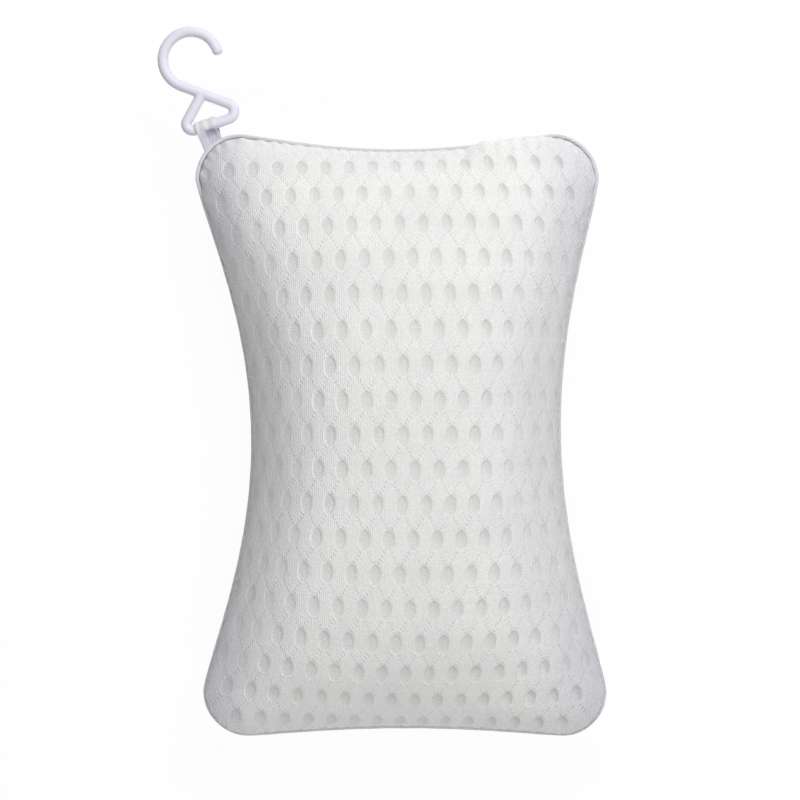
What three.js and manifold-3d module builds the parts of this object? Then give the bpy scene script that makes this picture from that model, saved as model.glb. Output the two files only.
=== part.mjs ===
import * as THREE from 'three';
import { mergeVertices } from 'three/addons/utils/BufferGeometryUtils.js';
import Module from 'manifold-3d';

// A mesh bath pillow that lies on its suction cups, in millimetres. Z points out of its front,
// Y towards the end with the hook, and X to the right of someone who looks at its front.

// Fits
const clearance = 0.3;
const fillingClearance = 0.6;
const overrun = 1;

// Outline of the cushion, piping included
const endWidth = 242;
const cushionLength = 361;
const cornerRadius = 27;
const leftDrawIn = 31;
const rightDrawIn = 25;
const topDip = 9;
const bottomDip = 4.5;
const endLean = 2.7;

// Cover and filling
const crownHeight = 56;
const backDepth = 25;
const panelThickness = 5;
const pipingDiameter = 2.5;
const plateauShare = 0.75;
const bowPower = 1.25;
const crownPower = 3;
const crownShoulderPower = 0.65;
const backShoulderPower = 0.5;

// Suction cups, and the washers that hold them in the back panel
const cupDiameter = 48;
const cupStandoff = 14;
const cupHollow = 6;
const cupWall = 2.2;
const cupLipWidth = 2.5;
const cupLipThickness = 1;
const stalkDiameter = 12;
const flangeDiameter = 18;
const flangeThickness = 1.8;
const neckDiameter = 9;
const headDiameter = 15;
const headTipDiameter = 9;
const headThickness = 2.6;
const washerDiameter = 22;
const washerThickness = 1.2;
const endCupSideRoom = 15.7;
const endCupEndRoom = 14.3;
const waistCupSideRoom = 8.4;

// Hook: a round rod bent into an open ring above a three-sided eye
const rodDiameter = 6.4;
const hookRingRadius = 16.8;
const hookRingRise = 40.9;
const hookRingSetback = 20.7;
const hookBarLength = 45;
const hookLegAngle = THREE.MathUtils.degToRad(43);
const hookTilt = THREE.MathUtils.degToRad(18.2);
const nearBendRadius = 3.8;
const farBendRadius = 4.9;

// Hanging loop: a strap folded round the hook's bar
const loopWidth = 12;
const loopPly = 1.2;
const loopReach = 8.2;
const loopPlaceOnBar = 17.6;
const loopSeatAngle = THREE.MathUtils.degToRad(127);

// Steps of the faceted forms
const cornerSteps = 4;
const sideSteps = 12;
const endSteps = 8;
const crownRings = 10;
const shoulderRings = 5;
const pipingSides = 8;
const cupSides = 20;
const hollowSteps = 4;
const rodSides = 12;
const ringSteps = 16;
const bendSteps = 6;
const tipSteps = 3;
const loopArcSteps = 12;
const seatSamples = 2000;

// Worked out from the sizes above
const quarterTurn = Math.PI / 2;
const halfWidth = endWidth / 2;
const halfLength = cushionLength / 2;
const sideReach = halfLength - cornerRadius;
const endReach = halfWidth - cornerRadius;
const panelInset = pipingDiameter + clearance;
const liningInset = panelInset + panelThickness;
const liningHeight = crownHeight - panelThickness;
const liningDepth = backDepth - panelThickness;
const seamGap = clearance / 2;
const rodRadius = rodDiameter / 2;

// Levels of the back and of a suction cup's features, from the seam plane
const rimLevel = -backDepth - cupStandoff;
const flangeTopLevel = -backDepth - clearance;
const washerLevel = -liningDepth + clearance;
const headLevel = washerLevel + washerThickness + clearance;
const headTopLevel = headLevel + headThickness;
const pocketRoofLevel = headTopLevel + clearance;

// A faceted bore that still clears a round piece which turns in it
const facetShrink = Math.cos(Math.PI / cupSides);
const neckHoleDiameter = (neckDiameter + 2 * clearance) / facetShrink;
const pocketDiameter = (washerDiameter + 2 * clearance) / facetShrink;

// The cups stand in from the edges of the back's flat by their washers and some room
const washerRadius = washerDiameter / 2;
const flatHalfWidth = plateauShare * (halfWidth - panelInset);
const flatHalfLength = plateauShare * (halfLength - panelInset);
const flatDrawIn = plateauShare * Math.max(leftDrawIn, rightDrawIn);
const endCupSpread = flatHalfWidth - washerRadius - endCupSideRoom;
const endCupReach = flatHalfLength - washerRadius - endCupEndRoom;
const waistCupSpread = flatHalfWidth - flatDrawIn - washerRadius - waistCupSideRoom;
const cupPlaces = [
  new THREE.Vector2(-endCupSpread, endCupReach),
  new THREE.Vector2(endCupSpread, endCupReach),
  new THREE.Vector2(-waistCupSpread, 0),
  new THREE.Vector2(waistCupSpread, 0),
  new THREE.Vector2(-endCupSpread, -endCupReach),
  new THREE.Vector2(endCupSpread, -endCupReach),
];

const wasm = await Module();
wasm.setup();

function makeMaterial(color, roughness) {
  return new THREE.MeshStandardMaterial({ color, roughness, metalness: 0 });
}

const materials = {
  coverMesh: makeMaterial(0xe4e4e4, 0.9),
  pipingCloth: makeMaterial(0xdcdbe4, 0.85),
  fibre: makeMaterial(0xf6f6f4, 1),
  strapCloth: makeMaterial(0xcfcddb, 0.85),
  hookPlastic: makeMaterial(0xd9d7e3, 0.35),
  clearVinyl: makeMaterial(0xdfe6ea, 0.15),
  washerPlastic: makeMaterial(0xf0f0f0, 0.4),
};

function makePiece(name, geometry, material) {
  const mesh = new THREE.Mesh(geometry, material);
  mesh.name = name;
  return mesh;
}

// The two triangles between each pair of neighbours on two rings of equally many points
function bandTriangles(from, to, count) {
  const triangles = [];
  for (let index = 0; index < count; index += 1) {
    const next = (index + 1) % count;
    triangles.push(from + index, to + index, to + next);
    triangles.push(from + index, to + next, from + next);
  }
  return triangles;
}

// A closed surface through rings that run counterclockwise seen from outside the first one. It
// ends in a point at either end, or without end points its last ring joins its first.
function ringSolid(rings, firstPoint, lastPoint) {
  const count = rings[0].length;
  const points = rings.flat();
  const lastRing = points.length - count;
  const triangles = [];
  for (let start = 0; start < lastRing; start += count) {
    triangles.push(...bandTriangles(start, start + count, count));
  }
  if (firstPoint) {
    const first = points.push(firstPoint) - 1;
    const last = points.push(lastPoint) - 1;
    for (let index = 0; index < count; index += 1) {
      const next = (index + 1) % count;
      triangles.push(first, index, next);
      triangles.push(last, lastRing + next, lastRing + index);
    }
  } else {
    triangles.push(...bandTriangles(lastRing, 0, count));
  }
  const geometry = new THREE.BufferGeometry().setFromPoints(points);
  geometry.setIndex(triangles);
  geometry.computeVertexNormals();
  return geometry;
}

function toSolid(geometry) {
  const bare = geometry.clone();
  bare.deleteAttribute('normal');
  bare.deleteAttribute('uv');
  const merged = mergeVertices(bare);
  return new wasm.Manifold(new wasm.Mesh({
    numProp: 3,
    vertProperties: new Float32Array(merged.attributes.position.array),
    triVerts: new Uint32Array(merged.index.array),
  }));
}

function toGeometry(solid) {
  const { vertProperties, triVerts } = solid.getMesh();
  const geometry = new THREE.BufferGeometry();
  geometry.setAttribute('position', new THREE.BufferAttribute(vertProperties, 3));
  geometry.setIndex(new THREE.BufferAttribute(triVerts, 1));
  geometry.computeVertexNormals();
  return geometry;
}

function cutAway(geometry, cutters) {
  const cut = cutters.reduce((solid, cutter) => solid.subtract(toSolid(cutter)), toSolid(geometry));
  return toGeometry(cut);
}

function joined(geometry, other) {
  return toGeometry(toSolid(geometry).add(toSolid(other)));
}

// How far a straight stretch has bowed inwards, as a share of its full dip, from -1 to 1 along it
function bow(place) {
  return (1 - place * place) ** bowPower;
}

// Places between the two ends of a straight stretch
function placesBetween(steps) {
  return Array.from({ length: steps - 1 }, (_, index) => (2 * (index + 1)) / steps - 1);
}

function sidePoints(side, drawIn, inset) {
  return placesBetween(sideSteps).map((place) => {
    const x = side * (halfWidth - inset - drawIn * bow(place));
    return new THREE.Vector2(x, side * place * sideReach);
  });
}

function endPoints(side, dip, inset) {
  return placesBetween(endSteps).map((place) => {
    const y = side * (halfLength - inset - dip * bow(place));
    return new THREE.Vector2(-side * place * endReach, y);
  });
}

function cornerPoints(centre, startAngle, inset) {
  const radius = cornerRadius - inset;
  return Array.from({ length: cornerSteps + 1 }, (_, step) => {
    const angle = startAngle + (quarterTurn * step) / cornerSteps;
    return new THREE.Vector2(centre.x + radius * Math.cos(angle), centre.y + radius * Math.sin(angle));
  });
}

const cornerCentres = {
  topRight: new THREE.Vector2(endReach, sideReach),
  topLeft: new THREE.Vector2(-endReach, sideReach),
  bottomLeft: new THREE.Vector2(-endReach, -sideReach),
  bottomRight: new THREE.Vector2(endReach, -sideReach),
};

// The cushion's outline, counterclockwise and before it leans, inside its outermost edge by the inset
function outline(inset) {
  return [
    ...sidePoints(1, rightDrawIn, inset),
    ...cornerPoints(cornerCentres.topRight, 0, inset),
    ...endPoints(1, topDip, inset),
    ...cornerPoints(cornerCentres.topLeft, quarterTurn, inset),
    ...sidePoints(-1, leftDrawIn, inset),
    ...cornerPoints(cornerCentres.bottomLeft, 2 * quarterTurn, inset),
    ...endPoints(-1, bottomDip, inset),
    ...cornerPoints(cornerCentres.bottomRight, 3 * quarterTurn, inset),
  ];
}

// The ends lean a little to opposite sides
function leaned(point, level) {
  return new THREE.Vector3(point.x - (endLean * point.y) / halfLength, point.y, level);
}

// Shares of the way from the middle to the edge, closer together where the shoulder steepens
function easedShares(count) {
  return Array.from({ length: count }, (_, index) => Math.sin((quarterTurn * (index + 1)) / count));
}

const crownShares = easedShares(crownRings);
const backShares = [0, ...easedShares(shoulderRings)]
  .map((share) => plateauShare + (1 - plateauShare) * share);

// How far the outline lies from a middle line of the cushion, at a place along that line
function edgeReach(place, straightReach, cornerReach, halfSize, dip, inset) {
  const past = Math.abs(place) - straightReach;
  if (past > 0) {
    return cornerReach + Math.sqrt(Math.max(0, (cornerRadius - inset) ** 2 - past ** 2));
  }
  return halfSize - inset - dip * bow(place / straightReach);
}

// The front's height over a point of its plan, as a share of its height at the middle
function crownRise(point, inset) {
  const drawIn = point.x < 0 ? leftDrawIn : rightDrawIn;
  const dip = point.y < 0 ? bottomDip : topDip;
  const across = Math.abs(point.x) / edgeReach(point.y, sideReach, endReach, halfWidth, drawIn, inset);
  const along = Math.abs(point.y) / edgeReach(point.x, endReach, sideReach, halfLength, dip, inset);
  const room = Math.max(0, 1 - across ** crownPower) * Math.max(0, 1 - along ** crownPower);
  return room ** crownShoulderPower;
}

// The back is flat as far as the plateau reaches and rounds up to the seam beyond it
function backDrop(share) {
  const past = (share - plateauShare) / (1 - plateauShare);
  return (1 - past * past) ** backShoulderPower;
}

// Rings from near the middle out to the edge, with levels from the seam plane
function crownSurface(inset, middleLevel, edgeLevel) {
  const edge = outline(inset);
  return crownShares.map((share) => edge.map((edgePoint) => {
    const point = edgePoint.clone().multiplyScalar(share);
    return leaned(point, edgeLevel + (middleLevel - edgeLevel) * crownRise(point, inset));
  }));
}

function backSurface(inset, middleLevel, edgeLevel) {
  const edge = outline(inset);
  return backShares.map((share) => {
    const level = edgeLevel + (middleLevel - edgeLevel) * backDrop(share);
    return edge.map((edgePoint) => leaned(edgePoint.clone().multiplyScalar(share), level));
  });
}

function middleAt(level) {
  return new THREE.Vector3(0, 0, level);
}

function cupBore(place, diameter, from, to) {
  const bore = new THREE.CylinderGeometry(diameter / 2, diameter / 2, to - from, cupSides);
  bore.rotateX(quarterTurn);
  bore.translate(place.x, place.y, (from + to) / 2);
  return bore;
}

function frontPanelGeometry() {
  const outside = crownSurface(panelInset, crownHeight, seamGap);
  const inside = crownSurface(liningInset, liningHeight, seamGap);
  return ringSolid([...outside, ...inside.reverse()], middleAt(crownHeight), middleAt(liningHeight));
}

function backPanelGeometry() {
  const inside = backSurface(liningInset, -liningDepth, -seamGap);
  const outside = backSurface(panelInset, -backDepth, -seamGap);
  const shell = ringSolid([...inside, ...outside.reverse()], middleAt(-liningDepth), middleAt(-backDepth));
  const from = -backDepth - overrun;
  const to = -liningDepth + overrun;
  return cutAway(shell, cupPlaces.map((place) => cupBore(place, neckHoleDiameter, from, to)));
}

// Moves a closed surface inwards, along its normals
function drawnIn(geometry, distance) {
  const { position, normal } = geometry.attributes;
  for (let index = 0; index < position.count; index += 1) {
    const outwards = new THREE.Vector3().fromBufferAttribute(normal, index);
    const point = new THREE.Vector3().fromBufferAttribute(position, index);
    position.setXYZ(index, ...point.addScaledVector(outwards, -distance));
  }
  return geometry;
}

// The filling takes the form of the lining that it lies against
function fillingGeometry() {
  const upper = crownSurface(liningInset, liningHeight, 0);
  const lower = backSurface(liningInset, -liningDepth, 0).slice(0, -1);
  const space = ringSolid([...upper, ...lower.reverse()], middleAt(liningHeight), middleAt(-liningDepth));
  const block = drawnIn(space, fillingClearance);
  const from = -liningDepth - overrun;
  return cutAway(block, cupPlaces.map((place) => cupBore(place, pocketDiameter, from, pocketRoofLevel)));
}

function pipingGeometry() {
  const radius = pipingDiameter / 2;
  const rings = Array.from({ length: pipingSides }, (_, side) => {
    const angle = (2 * Math.PI * (side + 1 / 2)) / pipingSides;
    const inset = radius - radius * Math.sin(angle);
    return outline(inset).map((point) => leaned(point, radius * Math.cos(angle)));
  });
  return ringSolid(rings);
}

// A solid turned about Z from its profile of radii and levels, which runs up its outside
function turned(profile) {
  const points = profile.map(([radius, level]) => new THREE.Vector2(radius, level));
  const geometry = new THREE.LatheGeometry(points, cupSides);
  geometry.rotateX(quarterTurn);
  return geometry;
}

function cupGeometry() {
  const rimRadius = cupDiameter / 2;
  const hollowRadius = rimRadius - cupLipWidth;
  const stalkRadius = stalkDiameter / 2;
  const backRise = cupHollow + cupWall - cupLipThickness;
  const shares = Array.from({ length: hollowSteps + 1 }, (_, step) => step / hollowSteps);
  const hollow = shares.map((share) => [hollowRadius * share, rimLevel + cupHollow * (1 - share * share)]);
  const back = shares.map((share) => {
    const radius = rimRadius + (stalkRadius - rimRadius) * share;
    const rise = backRise * (1 - (radius / rimRadius) ** 2);
    return [radius, rimLevel + cupLipThickness + rise];
  });
  return turned([
    ...hollow,
    [rimRadius, rimLevel],
    ...back,
    [stalkRadius, flangeTopLevel - flangeThickness],
    [flangeDiameter / 2, flangeTopLevel - flangeThickness],
    [flangeDiameter / 2, flangeTopLevel],
    [neckDiameter / 2, flangeTopLevel],
    [neckDiameter / 2, headLevel],
    [headDiameter / 2, headLevel],
    [headTipDiameter / 2, headTopLevel],
    [0, headTopLevel],
  ]);
}

function washerGeometry() {
  const top = washerLevel + washerThickness;
  return turned([
    [neckHoleDiameter / 2, washerLevel],
    [washerRadius, washerLevel],
    [washerRadius, top],
    [neckHoleDiameter / 2, top],
    [neckHoleDiameter / 2, washerLevel],
  ]);
}

function stepAlong(place, heading, distance) {
  const x = place.x + distance * Math.cos(heading);
  const y = place.y + distance * Math.sin(heading);
  return { x, y, heading: place.heading };
}

// The rod's section, square to its path in the hook's plane
function rodSection(place, radius) {
  const side = new THREE.Vector3(-Math.sin(place.heading), Math.cos(place.heading), 0);
  return Array.from({ length: rodSides }, (_, index) => {
    const angle = (2 * Math.PI * (index + 1 / 2)) / rodSides;
    const point = new THREE.Vector3(place.x, place.y, radius * Math.cos(angle));
    return point.addScaledVector(side, radius * Math.sin(angle));
  });
}

// Places round a clockwise bend whose straight stretches would meet at the corner
function bendPlaces(corner, from, to, radius) {
  const start = stepAlong(corner, from, -radius * Math.tan((from - to) / 2));
  const centre = stepAlong(start, from - quarterTurn, radius);
  return Array.from({ length: bendSteps + 1 }, (_, step) => {
    const heading = from + ((to - from) * step) / bendSteps;
    return { ...stepAlong(centre, heading + quarterTurn, radius), heading };
  });
}

function ringPlaces(centre, from, to, radius) {
  return Array.from({ length: ringSteps + 1 }, (_, step) => {
    const heading = from + ((to - from) * step) / ringSteps;
    return { ...stepAlong(centre, heading - quarterTurn, radius), heading };
  });
}

// Sections of the rod's rounded tip, before its first place
function tipSections(place) {
  return Array.from({ length: tipSteps - 1 }, (_, step) => {
    const angle = (quarterTurn * (tipSteps - 1 - step)) / tipSteps;
    const centre = stepAlong(place, place.heading, -rodRadius * Math.sin(angle));
    return rodSection(centre, rodRadius * Math.cos(angle));
  });
}

// The hook in its own plane: its bar runs along X and the middle of the loop's seat is the origin
function hookGeometry() {
  const nearCorner = { x: -loopPlaceOnBar, y: 0 };
  const farCorner = { x: hookBarLength - loopPlaceOnBar, y: 0 };
  const ringCentre = { x: hookRingSetback - loopPlaceOnBar, y: hookRingRise };
  const ringRun = ringCentre.x - farCorner.x;
  const ringSight = Math.atan2(ringCentre.y, ringRun);
  const stemSlope = ringSight + Math.asin(hookRingRadius / Math.hypot(ringRun, ringCentre.y));
  const tipHeading = quarterTurn;
  const stemHeading = stemSlope + Math.PI;
  const barHeading = Math.PI;
  const farAngle = Math.PI - stemSlope;
  const legLength = (hookBarLength * Math.sin(farAngle)) / Math.sin(hookLegAngle + farAngle);
  const path = [
    ...ringPlaces(ringCentre, tipHeading, stemHeading, hookRingRadius),
    ...bendPlaces(farCorner, stemHeading, barHeading, farBendRadius),
    ...bendPlaces(nearCorner, barHeading, hookLegAngle, nearBendRadius),
  ];
  const tip = path.at(0);
  const legStart = path.at(-1);
  const legEnd = { ...stepAlong(nearCorner, hookLegAngle, legLength), heading: hookLegAngle };
  const rodSections = [...tipSections(tip), ...path.map((place) => rodSection(place, rodRadius))];
  const tipPoint = stepAlong(tip, tip.heading, -rodRadius);
  const rod = ringSolid(rodSections, atPlace(tipPoint), atPlace(legStart));
  const legSections = [legStart, legEnd].map((place) => rodSection(place, rodRadius));
  const leg = ringSolid(legSections, atPlace(legStart), atPlace(legEnd));
  return joined(rod, leg);
}

function atPlace(place) {
  return new THREE.Vector3(place.x, place.y, 0);
}

// The strap's section, folded round the bar: X runs from its root at the seam to the bar
function loopGeometry() {
  const arcSpan = 2 * Math.PI / loopArcSteps;
  const boreRadius = (rodRadius + clearance) / Math.cos(arcSpan / 2);
  const wrapAngle = Math.acos(-boreRadius / loopReach);
  const section = new THREE.Shape();
  section.absarc(0, 0, loopPly, wrapAngle, 2 * Math.PI - wrapAngle, false);
  section.absarc(loopReach, 0, boreRadius + loopPly, -wrapAngle, wrapAngle, false);
  const bore = new THREE.Path();
  bore.absarc(loopReach, 0, boreRadius, -wrapAngle, wrapAngle, false);
  bore.lineTo(0, 0);
  section.holes.push(bore);
  const settings = { depth: loopWidth, bevelEnabled: false, curveSegments: loopArcSteps };
  const geometry = new THREE.ExtrudeGeometry(section, settings);
  geometry.translate(0, 0, -loopWidth / 2);
  return geometry;
}

const up = new THREE.Vector3(0, 0, 1);
const barDirection = new THREE.Vector3(Math.cos(hookTilt), Math.sin(hookTilt), 0);
const reachDirection = new THREE.Vector3().crossVectors(up, barDirection);

// The loop's root lies against the piping, at the highest point of the stretch that it spans
function loopRoot() {
  const onCorner = new THREE.Vector2(Math.cos(loopSeatAngle), Math.sin(loopSeatAngle));
  const seat = leaned(onCorner.multiplyScalar(cornerRadius).add(cornerCentres.topLeft), 0);
  const place = seat.dot(barDirection);
  const spanned = new THREE.Shape(outline(0)).getSpacedPoints(seatSamples)
    .map((point) => leaned(point, 0))
    .filter((point) => point.y > 0 && Math.abs(point.dot(barDirection) - place) <= loopWidth / 2);
  const rise = Math.max(...spanned.map((point) => point.dot(reachDirection))) + clearance + loopPly;
  return barDirection.clone().multiplyScalar(place).addScaledVector(reachDirection, rise);
}

function cushionGroup() {
  const group = new THREE.Group();
  group.add(makePiece('front_panel', frontPanelGeometry(), materials.coverMesh));
  group.add(makePiece('back_panel', backPanelGeometry(), materials.coverMesh));
  group.add(makePiece('edge_piping', pipingGeometry(), materials.pipingCloth));
  group.add(makePiece('fibre_filling', fillingGeometry(), materials.fibre));
  return group;
}

function suctionGroup() {
  const group = new THREE.Group();
  cupPlaces.forEach((place, index) => {
    const cup = makePiece(`suction_cup_${index + 1}`, cupGeometry(), materials.clearVinyl);
    const washer = makePiece(`cup_washer_${index + 1}`, washerGeometry(), materials.washerPlastic);
    [cup, washer].forEach((piece) => piece.position.set(place.x, place.y, 0));
    group.add(cup, washer);
  });
  return group;
}

function hangerGroup() {
  const group = new THREE.Group();
  const loop = makePiece('hanging_loop', loopGeometry(), materials.strapCloth);
  loop.setRotationFromMatrix(new THREE.Matrix4().makeBasis(reachDirection, up, barDirection));
  const hook = makePiece('hook', hookGeometry(), materials.hookPlastic);
  hook.rotation.z = hookTilt;
  hook.position.copy(reachDirection).multiplyScalar(loopReach);
  group.add(loop, hook);
  group.position.copy(loopRoot());
  return group;
}

// The origin is on the floor, under the middle of the box round the whole part
function placedOnFloor(part) {
  const box = new THREE.Box3().setFromObject(part, true);
  const middle = box.getCenter(new THREE.Vector3());
  part.position.set(-middle.x, -middle.y, -box.min.z);
  return part;
}

const bathPillow = new THREE.Group();
bathPillow.add(cushionGroup(), suctionGroup(), hangerGroup());

export default placedOnFloor(bathPillow);
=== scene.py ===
"""A mesh bath pillow on its suction cups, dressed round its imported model. Lengths are in metres."""
import math

import bmesh
import bpy
import numpy as np
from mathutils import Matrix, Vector


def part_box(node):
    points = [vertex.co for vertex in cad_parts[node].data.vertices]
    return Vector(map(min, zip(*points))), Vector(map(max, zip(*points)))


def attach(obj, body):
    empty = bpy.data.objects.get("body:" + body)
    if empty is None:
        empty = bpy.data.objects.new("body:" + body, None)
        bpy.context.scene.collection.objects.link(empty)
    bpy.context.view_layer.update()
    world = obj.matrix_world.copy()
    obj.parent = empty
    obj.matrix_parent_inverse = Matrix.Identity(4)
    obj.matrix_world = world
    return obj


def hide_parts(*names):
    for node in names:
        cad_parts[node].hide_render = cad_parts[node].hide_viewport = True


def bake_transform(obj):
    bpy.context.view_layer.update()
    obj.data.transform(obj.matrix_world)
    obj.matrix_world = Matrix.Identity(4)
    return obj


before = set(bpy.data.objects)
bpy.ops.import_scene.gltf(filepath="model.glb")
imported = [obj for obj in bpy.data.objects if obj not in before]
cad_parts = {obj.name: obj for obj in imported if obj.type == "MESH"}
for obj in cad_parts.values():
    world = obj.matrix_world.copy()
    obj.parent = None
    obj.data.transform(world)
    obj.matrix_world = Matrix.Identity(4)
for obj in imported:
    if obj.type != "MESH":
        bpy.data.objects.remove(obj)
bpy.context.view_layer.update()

# A name that ends in RANGE holds where a soft change starts and where it is complete
TURN, TINY = 2 * math.pi, 1e-12

# The cushion's plan, from its own middle
END_WIDTH, CUSHION_LENGTH, CORNER_RADIUS = 0.242, 0.361, 0.027
LEFT_DRAW_IN, RIGHT_DRAW_IN = 0.031, 0.025
TOP_DIP, BOTTOM_DIP = 0.009, 0.0045
END_LEAN, BOW_POWER = 0.0027, 1.25
PILLOW_PLACE = np.array([0.011374, -0.03233, 0.039])
HALF_WIDTH, HALF_LENGTH = END_WIDTH / 2, CUSHION_LENGTH / 2
SIDE_REACH, END_REACH = HALF_LENGTH - CORNER_RADIUS, HALF_WIDTH - CORNER_RADIUS

# The cushion's thickness
CROWN_HEIGHT, BACK_DEPTH, PANEL_THICKNESS = 0.056, 0.025, 0.005
PIPING_DIAMETER, CLEARANCE, FILLING_ROOM = 0.0025, 0.0003, 0.0006
CROWN_POWER, CROWN_SHOULDER_POWER, BACK_SHOULDER_POWER, PLATEAU_SHARE = 3, 0.65, 0.5, 0.75
SEAM_LEVEL, SEAM_GAP = PILLOW_PLACE[2], CLEARANCE / 2
PANEL_INSET = PIPING_DIAMETER + CLEARANCE
LINING_INSET = PANEL_INSET + PANEL_THICKNESS
LINING_HEIGHT, LINING_DEPTH = CROWN_HEIGHT - PANEL_THICKNESS, BACK_DEPTH - PANEL_THICKNESS

# The mesh cloth's ovals: rows across the cushion, and columns that shift half a pitch in every other row
COLUMN_PITCH, ROW_PITCH, FIRST_ROW_PLACE = 0.01397, 0.0199, 0.00073
ROW_EASE, ROW_STRETCH, ROW_RECOVERY = 4.13, 164.0, 4024.0
ROW_BOW, ROW_SHEAR, ROW_FAN = 7.7, 7.3, 242.0
MIDDLE_COLUMN_PLACE, MIDDLE_COLUMN_BOW, BOW_PLACE = 0.0017, 0.2208, 0.0519
COLUMN_DRIFT, COLUMN_STRETCH, COLUMN_SHEAR, COLUMN_FAN = 9.8, 233.0, 1.9, 75.7
OVAL_HALF_WIDTH, OVAL_HALF_HEIGHT = 0.0034, 0.0061
ROUND_POWER, TIP_POWER, FOOT_POWER = 2.0, 1.2, 2.8
OVAL_DEPTH, OVAL_FOOT_SHARE, OVAL_EDGE_SHARE = 0.00085, 0.5, 0.24
WALES_PER_COLUMN, STITCHES_PER_ROW, WALE_PARTING = 11, 16, 0.07

# Where the ovals close: near the seam, on steep flanks and past the last open row
CLOSED_BELOW, OPEN_ABOVE, CLOSED_TO_RIGHT, OPEN_TO_RIGHT = 0.002, 0.007, 0.002, 0.004
SLOPE_RANGE, SLOPE_END_RANGE, SLOPE_SHARE = (0.30, 0.62), (0.7, 0.85), 0.5
CLOSED_ROW_RANGE = (8.4, 8.7)

# The cloth's rim, with places as shares of the way out from the middle
SWELL, SWELL_STARTS, SWELL_PEAK, CORNER_SLACKENING = 0.0019, 0.84, 0.992, 0.0009
FOOT_FULLNESS, FOOT_REACH, SEAM_TUCK = 0.0025, 0.03, 0.0005
PUCKER, CORNER_PUCKER, CORNER_REACH = 0.00025, 0.0004, 0.045
PUCKERS_ROUND, PUCKER_DRIFTS = 167, ((2.3, 11, 1.1), (1.7, 29, 0))
SEWN_STARTS, SEWN_FADES = 0.955, 0.997

# The wrinkled stretch of the top edge where the cover was drawn shut
CLOSING_START, CLOSING_END, CLOSING_RAMP = 0.0405, 0.095, 0.011
CLOSING_EDGE_RANGE, CLOSING_LUMP_RANGE = (0.6, 0.8), (0.90, 0.975)
CLOSING_LUMP, CLOSING_FALL = 0.0031, 0.3
CLOSING_WRINKLE, CLOSING_WRINKLE_SPACING = 0.18, 0.0085

# Painted shade: the cloth's colour turns darker and lilac on steep flanks, at the rim and at the corners
FLANK_RANGE, RIM_RANGE = (0.15, 0.85), (0.92, 1)
CORNER_SIDE_RANGE, CORNER_END_RANGE = (0.55, 0.95), (0.35, 0.85)
FLANK_SHADE, RIM_SHADE, CORNER_SHADE = 0.32, 0.3, 0.65

# Unevenness over loose fibre: each wave's share and its two slants with their phases, then lumps in it
WAVE_HEIGHT, WAVE_END_RANGE = 0.0011, (0.8, 1)
WAVES = (
    (0.45, (31, 17, 0.7), (-12, 23, 1.9)),
    (0.35, (57, -33, 2.6), (21, 49, 0.4)),
    (0.2, (101, 64, 4.1), (-71, 88, 3.3)),
)
FIBRE_LUMP, FIBRE_LUMP_POWER = 0.0012, 6
FIBRE_SLANT, FIBRE_RISE = (190, 40), 150

# The piping's pinches at its stitches, and its slower unevenness
PINCH, PINCHES, UNEVENNESS, UNEVEN_WAVES, UNEVEN_PHASE = 0.05, 330, 0.04, 57, 1.0

# Hook: a rod bent into an open ring above a three-sided eye
ROD_DIAMETER = 0.0064
RING_RADIUS, RING_RISE, RING_SETBACK = 0.0168, 0.0409, 0.0207
BAR_LENGTH, LEG_ANGLE, HOOK_TILT = 0.045, math.radians(43), math.radians(18.2)
NEAR_BEND_RADIUS, FAR_BEND_RADIUS, TIP_FILLET = 0.0038, 0.0049, 0.0023
BAR_PLACE = np.array([-0.104877, 0.153023, 0.039])
ALONG_BAR = np.array([math.cos(HOOK_TILT), math.sin(HOOK_TILT), 0])
OUTWARD = np.array([-math.sin(HOOK_TILT), math.cos(HOOK_TILT), 0])
UPWARD = np.array([0, 0, 1.0])

# Hanging loop: a strap folded round the hook's bar
LOOP_REACH, LOOP_ON_BAR = 0.0082, 0.0176
LOOP_ROOT = BAR_PLACE - LOOP_REACH * OUTWARD
STRAP_WIDTH, STRAP_THICKNESS, STRAP_TUCK, STRAP_BEND = 0.0124, 0.0008, 0.0012, 0.0012
STRAP_SKEW, STRAP_EDGE_POWER, STRAP_EDGE_LEAST, NEAR_PLY_SAG = 0.0009, 8, 0.1, 0.0021
NEAR_PLY_RANGE, CREASE_RANGE, FOLD_RANGE, FOLD_SHARE = (-0.45, 0.45), (-0.17, -0.07), (0.22, 0.5), 0.6
SAG_RANGE, SAG_END_RANGE, BUNCHING_END_RANGE = (0, 0.3), (0.45, 1), (0, 0.5)
STRAP_BUNCHING, BUNCHES, BUNCH_PHASE = 0.00022, 2.2, 0.35

# Suction cups, from the floor up
CUP_COUNT, CUP_RADIUS, CUP_STANDOFF, CUP_HOLLOW, CUP_WALL = 6, 0.024, 0.014, 0.006, 0.0022
CUP_LIP_WIDTH, CUP_LIP_THICKNESS, CUP_LIP_ROUNDING = 0.0025, 0.001, 0.0004
STALK_RADIUS, FLANGE_RADIUS, FLANGE_THICKNESS = 0.006, 0.009, 0.0018
NECK_RADIUS, HEAD_RADIUS, HEAD_TIP_RADIUS, HEAD_THICKNESS = 0.0045, 0.0075, 0.0045, 0.0026
STALK_FILLET, ROUNDING, WASHER_THICKNESS = 0.0006, 0.0005, 0.0012

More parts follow.
